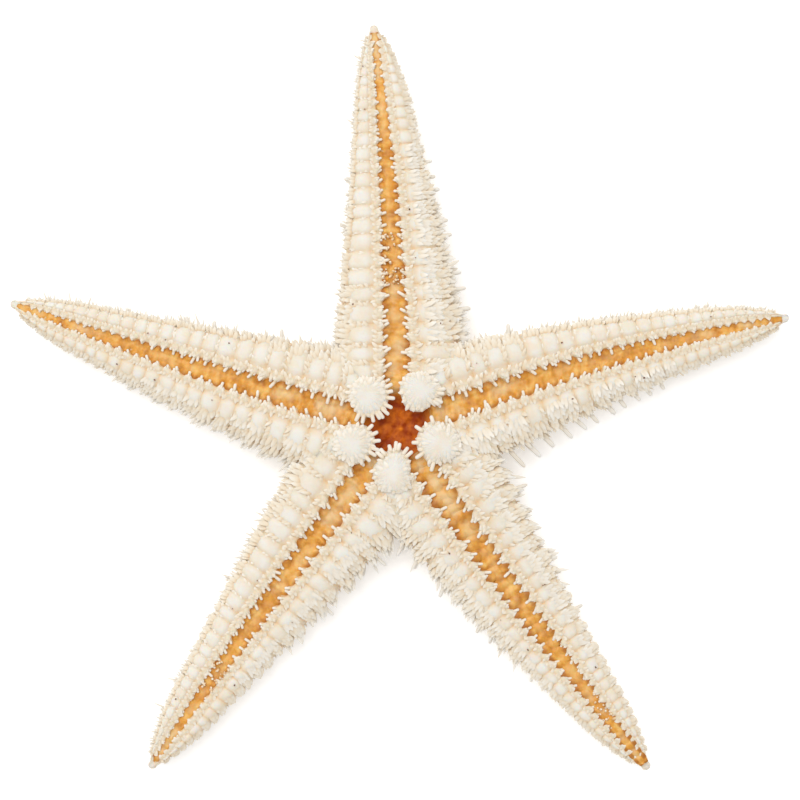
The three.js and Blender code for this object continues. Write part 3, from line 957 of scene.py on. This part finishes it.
# The skin over the mouth, which hangs a little in the middle and drops towards each groove
mouth = {"radius": 6.4, "centreUp": 6.3, "rise": 1.3, "thickness": 0.3, "drop": 0.5,
         "folds": (0.1, 0.05), "crumbAt": (0.35, -0.1), "crumbSize": 0.12}
bpy.ops.object.select_all(action="DESELECT")
bpy.ops.mesh.primitive_circle_add(vertices=60, radius=mouth["radius"] * mm, fill_type="TRIFAN")
bpy.ops.object.mode_set(mode="EDIT")
bpy.ops.mesh.select_all(action="SELECT")
bpy.ops.mesh.subdivide(number_cuts=14)
bpy.ops.object.mode_set(mode="OBJECT")
membrane = bpy.context.object
edge = membrane.data.attributes.new("edge", "FLOAT", "POINT")
crumb = membrane.data.attributes.new("crumb", "FLOAT", "POINT")
for vertex, edgeMark, crumbMark in zip(membrane.data.vertices, edge.data, crumb.data):
    x, y = vertex.co.x / mm, vertex.co.y / mm
    far = math.hypot(x, y) / mouth["radius"]
    turn = math.atan2(y, x)
    toArm = max(math.cos(turn - math.radians(arm["bearing"])) for arm in arms.values()) ** 12
    large, small = mouth["folds"]
    fold = large * math.sin(2.1 * x + 1.3 * y) * math.cos(1.7 * y - 0.9 * x)
    fold = fold + small * math.sin(4.3 * x - 3.1 * y)
    vertex.co.z = (mouth["centreUp"] + mouth["rise"] * far ** 2 - mouth["drop"] * toArm * far + fold) * mm
    edgeMark.value = min(1, max(0, (far - 0.62) / 0.3)) * toArm
    crumbX, crumbY = mouth["crumbAt"]
    crumbMark.value = math.exp(-((x - crumbX) ** 2 + 2 * (y - crumbY) ** 2) / mouth["crumbSize"])
thicken(membrane, mouth["thickness"])
bpy.ops.object.shade_smooth()
finishPiece("mouthMembrane", membraneFinish)

# Five jaws, each a cushion of flat spinules with blunt fingers towards the mouth
jaws = {  # place, half lengths, how far it narrows to the mouth, fingers: first and last bearing, count
    "upperLeftJaw": {"bearing": 133, "from": 6.6, "radial": 3.2, "across": 3.2, "point": 0.0,
                     "fingers": (-112, 24, 10)},
    "upperRightJaw": {"bearing": 60, "from": 6.4, "radial": 3.2, "across": 3.1, "point": 0.12,
                      "fingers": (-38, 8, 4)},
    "rightJaw": {"bearing": -19, "from": 6.6, "radial": 3.6, "across": 3.3, "point": -0.08,
                 "fingers": (112, 250, 5)},
    "bottomJaw": {"bearing": 264, "from": 6.5, "radial": 3.7, "across": 3.0, "point": 0.26,
                  "fingers": (40, 140, 7)},
    "leftJaw": {"bearing": 198.5, "from": 7.1, "radial": 3.4, "across": 3.2, "point": 0.05,
                "fingers": (-52, 40, 6)},
}
jawShape = {
    "middle": 8.1, "half": 1.7, "under": 1.8, "ribs": 13, "ribDepth": 0.09, "lean": 0.8,
    "rows": ((0.1, 5, 1.3), (0.28, 9, 1.4), (0.46, 14, 1.4), (0.62, 19, 1.2), (0.76, 23, 0.9)),
    "width": 0.72, "thick": 0.2, "rimAt": 0.84, "rimCount": 19, "rimWidth": 0.66, "rimThick": 0.34,
    "fingerWidth": 0.72, "fingerThick": 0.55, "fingerLength": (1.1, 1.7),
}
jawCrop = Crop(71)
fingerCrop = Crop(72)


def jawRib(jaw, turn):
    wander = turn + 0.12 * np.sin(5 * turn + jaw["from"])
    return np.abs(np.sin(jawShape["ribs"] * wander)) ** 0.7 - 0.6


# Point on a cushion, at a turn round it and a share of the way out
def jawPoint(jaw, turn, spread):
    bearing = math.radians(jaw["bearing"])
    out = np.array([math.cos(bearing), math.sin(bearing)])
    aside = np.array([-math.sin(bearing), math.cos(bearing)])
    egg = 1 + jaw["point"] * np.cos(turn) + 0.07 * np.sin(3 * turn + jaw["bearing"])
    egg = egg + 0.03 * np.sin(7 * turn + jaw["from"])
    behind = jawShape["lean"] * (1 - spread)  # the ribs start behind the middle
    flat = np.multiply.outer(jaw["from"] + behind + jaw["radial"] * spread * np.cos(turn), out)
    flat = flat + np.multiply.outer(jaw["across"] * egg * spread * np.sin(turn), aside)
    up = jawShape["middle"] + jawShape["half"] * np.sqrt(np.clip(1 - spread ** 3, 0, 1))
    up = up + jawShape["ribDepth"] * jawRib(jaw, turn) * smoothStep(0.2, 0.7, spread)
    return np.concatenate([flat, up[..., None]], axis=-1)


def growJaw(name, jaw):
    bpy.ops.object.select_all(action="DESELECT")
    bpy.ops.mesh.primitive_uv_sphere_add(segments=156, ring_count=28, radius=1)
    cushion = bpy.context.object
    crease = cushion.data.attributes.new("crease", "FLOAT", "POINT")
    boss = cushion.data.attributes.new("boss", "FLOAT", "POINT")
    for vertex, seamShadeMark, whiteMark in zip(cushion.data.vertices, crease.data, boss.data):
        spread = np.array(math.hypot(vertex.co.x, vertex.co.y))
        turn = np.array(math.atan2(vertex.co.y, vertex.co.x))
        point = jawPoint(jaw, turn, np.minimum(spread, 1) * 0.97)
        if vertex.co.z < 0:
            point[2] = jawShape["middle"] + jawShape["under"] * vertex.co.z
        # painted warm shade: the seam colour goes on the rim, the underside and the furrows between the ribs,
        # and the white of the boss is taken off there
        furrow = max(0.0, 0.2 - float(jawRib(jaw, turn))) * float(smoothStep(0.2, 0.8, spread))
        seamShadeMark.value = min(1.0, 0.5 * float(spread) ** 10 + 0.3 * furrow)
        whiteMark.value = max(0.0, 1.1 - 0.5 * float(spread) ** 4 - 0.5 * furrow)
        vertex.co = [float(value) * mm for value in point]
    bpy.ops.object.shade_smooth()
    finishPiece(name, plateFinish)
    random = jawCrop.random
    bearing = math.radians(jaw["bearing"])
    for spread, count, length in jawShape["rows"]:
        turn = (np.arange(count) + random.uniform(-0.3, 0.3, count)) * 2 * math.pi / count
        spreads = np.full(count, spread) + random.uniform(-0.03, 0.03, count)
        root = jawPoint(jaw, turn, spreads)
        toward = jawPoint(jaw, turn, np.minimum(spreads + 0.05, 1.0)) - jawPoint(jaw, turn, spreads - 0.05)
        toward = toward / np.linalg.norm(toward, axis=1, keepdims=True)
        side = np.stack([-np.sin(turn + bearing), np.cos(turn + bearing), 0 * turn], axis=1)
        normal = np.cross(toward, side)
        toward = toward + side * random.uniform(-0.15, 0.15, (count, 1))
        toward = toward + normal * random.uniform(0.0, 0.05, (count, 1))
        jawCrop.add(root - normal * 0.1, toward, normal, jawShape["width"], jawShape["thick"],
                    length * random.uniform(0.75, 1.15, count), -0.12)
    # short ones stick out all round the rim, so that it is ragged
    count = jawShape["rimCount"]
    turn = (np.arange(count) + random.uniform(-0.45, 0.45, count)) * 2 * math.pi / count
    facing = turn + bearing + random.uniform(-0.5, 0.5, count)
    toward = np.stack([np.cos(facing), np.sin(facing), random.uniform(-0.7, -0.1, count)], axis=1)
    root = jawPoint(jaw, turn, np.full(count, jawShape["rimAt"]))
    jawCrop.add(root - toward * 0.2, toward, upwards + 0 * root, jawShape["rimWidth"], jawShape["rimThick"],
                random.uniform(0.6, 1.25, count), -0.05)
    firstTurn, lastTurn, count = jaw["fingers"]
    turn = np.radians(np.linspace(firstTurn, lastTurn, count) + random.uniform(-5, 5, count) - jaw["bearing"])
    root = jawPoint(jaw, turn, np.full(count, jawShape["rimAt"]))
    toward = np.stack([np.cos(turn + bearing), np.sin(turn + bearing), -0.1 + 0 * turn], axis=1)
    fingerCrop.add(root, toward, upwards + 0 * root, jawShape["fingerWidth"], jawShape["fingerThick"],
                   random.uniform(*jawShape["fingerLength"], count), -0.04)


for name, jaw in jaws.items():
    growJaw(name, jaw)
growSpines("jawSpinules", "lance", jawCrop, whiteFinish)
growSpines("jawFingers", "finger", fingerCrop, whiteFinish)
print("mouth made")

# Sand grains that are stuck in three of the grooves, and a few specks of dirt on the plates
grains = {  # from, to, count
    "topArm": (22, 30, 50), "lowerLeftArm": (45, 50, 22), "lowerRightArm": (51, 57, 16),
}
grainWidths = (0.24, 0.5)
specks = {"perSide": 3, "from": 9, "upTo": 0.9, "widths": (0.12, 0.26), "height": 0.3}
grainCrop = Crop(81)
speckCrop = Crop(82)
for armName, (nearest, farthest, count) in grains.items():
    random = grainCrop.random
    along = random.uniform(nearest, farthest, count)
    for sideName in sideSigns:
        place = along[:count // 2] if sideName == "left" else along[count // 2:]
        m = measure(arms[armName], sideName, place)
        across = random.uniform(0, 1, len(place)) ** 0.7 * m["half"]
        root = inSpace(arms[armName], sideName, place, across, m["top"] - 0.7 * m["depth"])
        toward = upwards + random.uniform(-0.5, 0.5, (len(place), 3))
        width = random.uniform(*grainWidths, len(place))
        grainCrop.add(root, toward, np.tile([[1.0, 0.2, 0.0]], (len(place), 1)), width, width, 2.2 * width)
for arm in arms.values():
    for sideName in sideSigns:
        random, count = speckCrop.random, specks["perSide"]
        place = random.uniform(specks["from"], specks["upTo"] * arm["length"], count)
        _, root, tip, _, normal, _ = onSurface(arm, sideName, place, random.uniform(0, 0.4, count), plateZone)
        width = random.uniform(*specks["widths"], count)
        speckCrop.add(root + normal * 0.05, normal, tip, width, 1.5 * width, specks["height"])
growSpines("grooveSandGrains", "granule", grainCrop, bleachedSpines("quartzSand"))
growSpines("dirtSpecks", "granule", speckCrop, bleachedSpines("driedDirt"))

# The back, which it rests on: paxillae, little flat-topped columns, in rows across the arms
paxillae = {"row": 0.82, "spacing": 0.95, "width": 0.86, "height": 0.6, "first": 0.6, "lastAt": 0.955,
            "starts": (0.72, 0.25),  # shares of the spacing where the even and the odd rows start
            "seamLength": 13.6}
backCrop = Crop(91)


def addPaxillae(root, width):
    backCrop.add(root, -upwards + 0 * root, np.tile([[1.0, 0.0, 0.0]], (len(root), 1)), width, width,
                 paxillae["height"])


for arm in arms.values():
    rows = np.arange(paxillae["first"], arm["length"] * paxillae["lastAt"], paxillae["row"])
    for row, along in enumerate(rows):
        for sideName in sideSigns:
            m = measure(arm, sideName, np.array([along]))
            edge = float(backZone(m, np.zeros(1))[0][0])
            limit = min(edge, along * math.tan(arm[sideName]["halfGap"]) - 0.2)
            across = np.arange(paxillae["starts"][row % 2] * paxillae["spacing"], limit, paxillae["spacing"])
            if not len(across):
                continue
            across = across + backCrop.random.uniform(-0.08, 0.08, len(across))
            up = backZone(m, np.clip(1 - across / edge, 0, 1))[1]
            alongs = along + backCrop.random.uniform(-0.08, 0.08, len(across))
            root = inSpace(arm, sideName, alongs, across, np.asarray(up) + 0 * across)
            root[:, 2] += paxillae["height"] - armShape["standOff"]
            addPaxillae(root, paxillae["width"] * backCrop.random.uniform(0.85, 1.05, len(across)))
for arm in arms.values():  # along the lines where the arms meet, and in the middle
    turn = math.radians(arm["bearing"]) + arm["left"]["halfGap"]
    nearest = 0.0 if arm is arms["topArm"] else paxillae["spacing"]
    far = np.arange(nearest, paxillae["seamLength"], paxillae["row"])
    root = np.stack([far * math.cos(turn), far * math.sin(turn), 0 * far + paxillae["height"]], axis=1)
    addPaxillae(root, paxillae["width"] * backCrop.random.uniform(0.9, 1.1, len(far)))
growSpines("paxillae", "granule", backCrop, spineFinish)
for template in templates.values():
    bpy.data.objects.remove(template, do_unlink=True)
print("back made")

# Floor, light and camera
studio = {"floorSize": 3, "floorColour": "#FAFAFA", "floorGlow": 0.25, "skyStrength": 0.64,
          "keyPower": 6.4, "keySize": 0.8, "keyPlace": (-0.2, 0.34, 0.92)}
view = {"width": 124.0, "lens": 100, "sensor": 36, "centre": (0.31, 4.34), "plane": 4.0}
floorMaterial, tree = newMaterial("paleStudioFloor")
addShader(tree, {"Base Color": linear(studio["floorColour"]), "Roughness": 0.9,
                 "Emission Color": (1, 1, 1, 1),
                 "Emission Strength": studio["floorGlow"]})  # lit from below, so the shadows stay light
bpy.ops.object.select_all(action="DESELECT")
bpy.ops.mesh.primitive_plane_add(size=studio["floorSize"])
floor = bpy.context.object
floor.name = "studioFloor"
floor.data.materials.append(floorMaterial)

world = bpy.data.worlds.new("softStudio")
bpy.context.scene.world = world
world.use_nodes = True
world.node_tree.nodes["Background"].inputs["Color"].default_value = (1, 1, 1, 1)
world.node_tree.nodes["Background"].inputs["Strength"].default_value = studio["skyStrength"]
bpy.ops.object.light_add(type="AREA", location=studio["keyPlace"])
key = bpy.context.object
key.data.energy = studio["keyPower"]
key.data.size = studio["keySize"]
key.rotation_euler = (-key.location).to_track_quat("-Z", "Y").to_euler()

distance = view["width"] * view["lens"] / view["sensor"]
cameraPlace = (view["centre"][0] * mm, view["centre"][1] * mm, (distance + view["plane"]) * mm)
bpy.ops.object.camera_add(location=cameraPlace)
camera = bpy.context.object
camera.data.lens = view["lens"]
camera.data.sensor_width = view["sensor"]
camera.data.clip_start = 0.01
bpy.context.scene.camera = camera
bpy.context.scene.view_settings.view_transform = "Standard"
